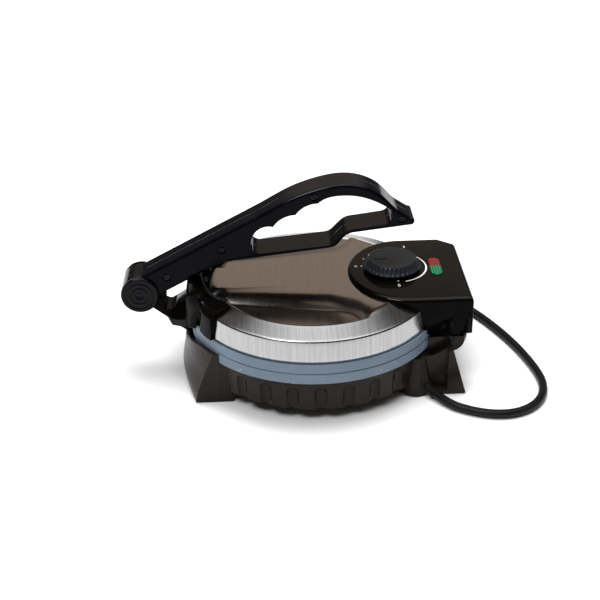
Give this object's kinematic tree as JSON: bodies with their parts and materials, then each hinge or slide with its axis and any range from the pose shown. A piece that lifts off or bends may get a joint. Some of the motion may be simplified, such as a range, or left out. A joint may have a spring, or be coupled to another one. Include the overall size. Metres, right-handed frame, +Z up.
{
  "type": "electric roti maker",
  "caption": "Round electric flatbread press with hinged steel lid, fluted base, thermostat housing, knob and a folding press handle.",
  "frame": {"origin": "middle of the object's bounding box at table height, without the mains lead", "axes": "+Z up, +X from the handle's pivot towards the lid's hinge, -Y the side where the lead leaves"},
  "size_m": [0.3452, 0.3028, 0.1644],
  "materials": {
    "black_plastic": "moulded black, satin gloss",
    "handle_plastic": "moulded black, glossy",
    "knob_plastic": "moulded black, grooved",
    "brushed_lid": "brushed stainless",
    "coated_plate": "grey non-stick coating on cast aluminium",
    "sheet_steel": "plain sheet",
    "zinc_steel": "zinc plated",
    "element_steel": "heat tinted sheath",
    "rubber": "matt rubber",
    "cord_pvc": "soft pvc",
    "terminal_plastic": "ivory moulding",
    "brass_pins": "turned brass",
    "thermostat_ceramic": "ceramic body",
    "red_lens": "clear red",
    "green_lens": "clear green",
    "lamp_glass": "neon lamp"
  },
  "bodies": {
    "base": {"base_housing": "black_plastic", "bottom_cover": "black_plastic", "cover_screws": "zinc_steel", "rubber_feet": "rubber", "lower_plate": "coated_plate", "lower_plate_screws": "zinc_steel", "lower_element": "element_steel", "lower_reflector": "sheet_steel", "hinge_pin": "zinc_steel", "terminal_block": "terminal_plastic", "strain_relief": "cord_pvc", "power_cord": "cord_pvc", "cord_coil": "cord_pvc", "plug_body": "cord_pvc", "plug_pins": "brass_pins"},
    "lid": {"lid_shell": "brushed_lid", "upper_plate": "coated_plate", "upper_plate_screws": "zinc_steel", "upper_element": "element_steel", "upper_reflector": "sheet_steel", "control_housing": "black_plastic", "housing_plate": "black_plastic", "hinge_bracket": "sheet_steel", "hinge_bracket_screws": "zinc_steel", "thermostat": "thermostat_ceramic", "red_lens": "red_lens", "green_lens": "green_lens", "indicator_lamps": "lamp_glass", "front_bracket": "black_plastic", "bracket_screws": "zinc_steel"},
    "handle": {"handle_near_half": "handle_plastic", "handle_far_half": "handle_plastic", "handle_screws": "zinc_steel", "pivot_pin": "zinc_steel", "barrel_caps": "handle_plastic", "cap_screws": "zinc_steel"},
    "knob": {"knob": "knob_plastic", "thermostat_shaft": "zinc_steel"}
  },
  "joints": [
    {"name": "lid_hinge", "type": "hinge", "parent": "base", "child": "lid", "pos_m": [0.1247, 0, 0.0435], "axis": [0, 1, 0], "range_deg": [0, 100]},
    {"name": "handle_fold", "type": "hinge", "parent": "lid", "child": "handle", "pos_m": [-0.1258, 0, 0.0736], "axis": [0, -1, 0], "range_deg": [0, 135]},
    {"name": "knob_turn", "type": "hinge", "parent": "lid", "child": "knob", "pos_m": [0.0817, 0, 0.088], "axis": [0, 0, 1], "range_deg": [0, 270]}
  ]
}
